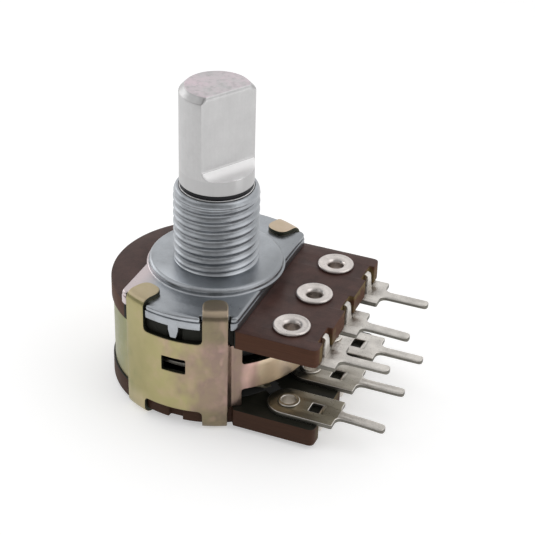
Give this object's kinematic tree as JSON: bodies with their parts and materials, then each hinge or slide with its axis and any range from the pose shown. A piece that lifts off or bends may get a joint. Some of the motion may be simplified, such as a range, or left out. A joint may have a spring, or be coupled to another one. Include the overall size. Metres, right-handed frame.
{
  "type": "rotary potentiometer",
  "caption": "Dual-gang rotary potentiometer with threaded bushing, flatted shaft, round two-wafer body and two rows of flat solder pins.",
  "frame": {"origin": "on the shaft's axis at the mounting face, the top of the raised disc round the bushing", "axes": "+Z along the shaft out of the bushing, +X towards the terminals, +Y across them from terminal 1 to terminal 3"},
  "size_m": [0.0253, 0.0176, 0.0263],
  "materials": {
    "zinc_casting": "die-cast zinc, satin blue-grey plating",
    "shaft_metal": "turned satin",
    "blackened_steel": "black oxide",
    "phenolic": "brown paper laminate",
    "yellow_chromate": "yellow passivated sheet",
    "tinned_metal": "tin plated",
    "carbon_film": "printed carbon",
    "silver_film": "printed silver",
    "rotor_moulding": "black moulding",
    "spring_bronze": "bright spring sheet"
  },
  "bodies": {
    "housing": {"front_bushing": "zinc_casting", "front_wafer": "phenolic", "rear_wafer": "phenolic", "housing_ring": "yellow_chromate", "shield_plate": "tinned_metal", "front_terminal_1": "tinned_metal", "front_terminal_2": "tinned_metal", "front_terminal_3": "tinned_metal", "rear_terminal_1": "tinned_metal", "rear_terminal_2": "tinned_metal", "rear_terminal_3": "tinned_metal", "front_eyelet_1": "tinned_metal", "front_eyelet_2": "tinned_metal", "front_eyelet_3": "tinned_metal", "rear_eyelet_1": "tinned_metal", "rear_eyelet_2": "tinned_metal", "rear_eyelet_3": "tinned_metal", "front_track": "carbon_film", "rear_track": "carbon_film", "front_collector": "silver_film", "rear_collector": "silver_film"},
    "rotor": {"shaft": "shaft_metal", "shaft_clip": "blackened_steel", "front_rotor": "rotor_moulding", "rear_rotor": "rotor_moulding", "front_wiper": "spring_bronze", "rear_wiper": "spring_bronze"}
  },
  "joints": [
    {"name": "shaft_turn", "type": "hinge", "parent": "housing", "child": "rotor", "pos_m": [0, 0, 0], "axis": [0, 0, -1], "range_deg": [0, 300]}
  ]
}
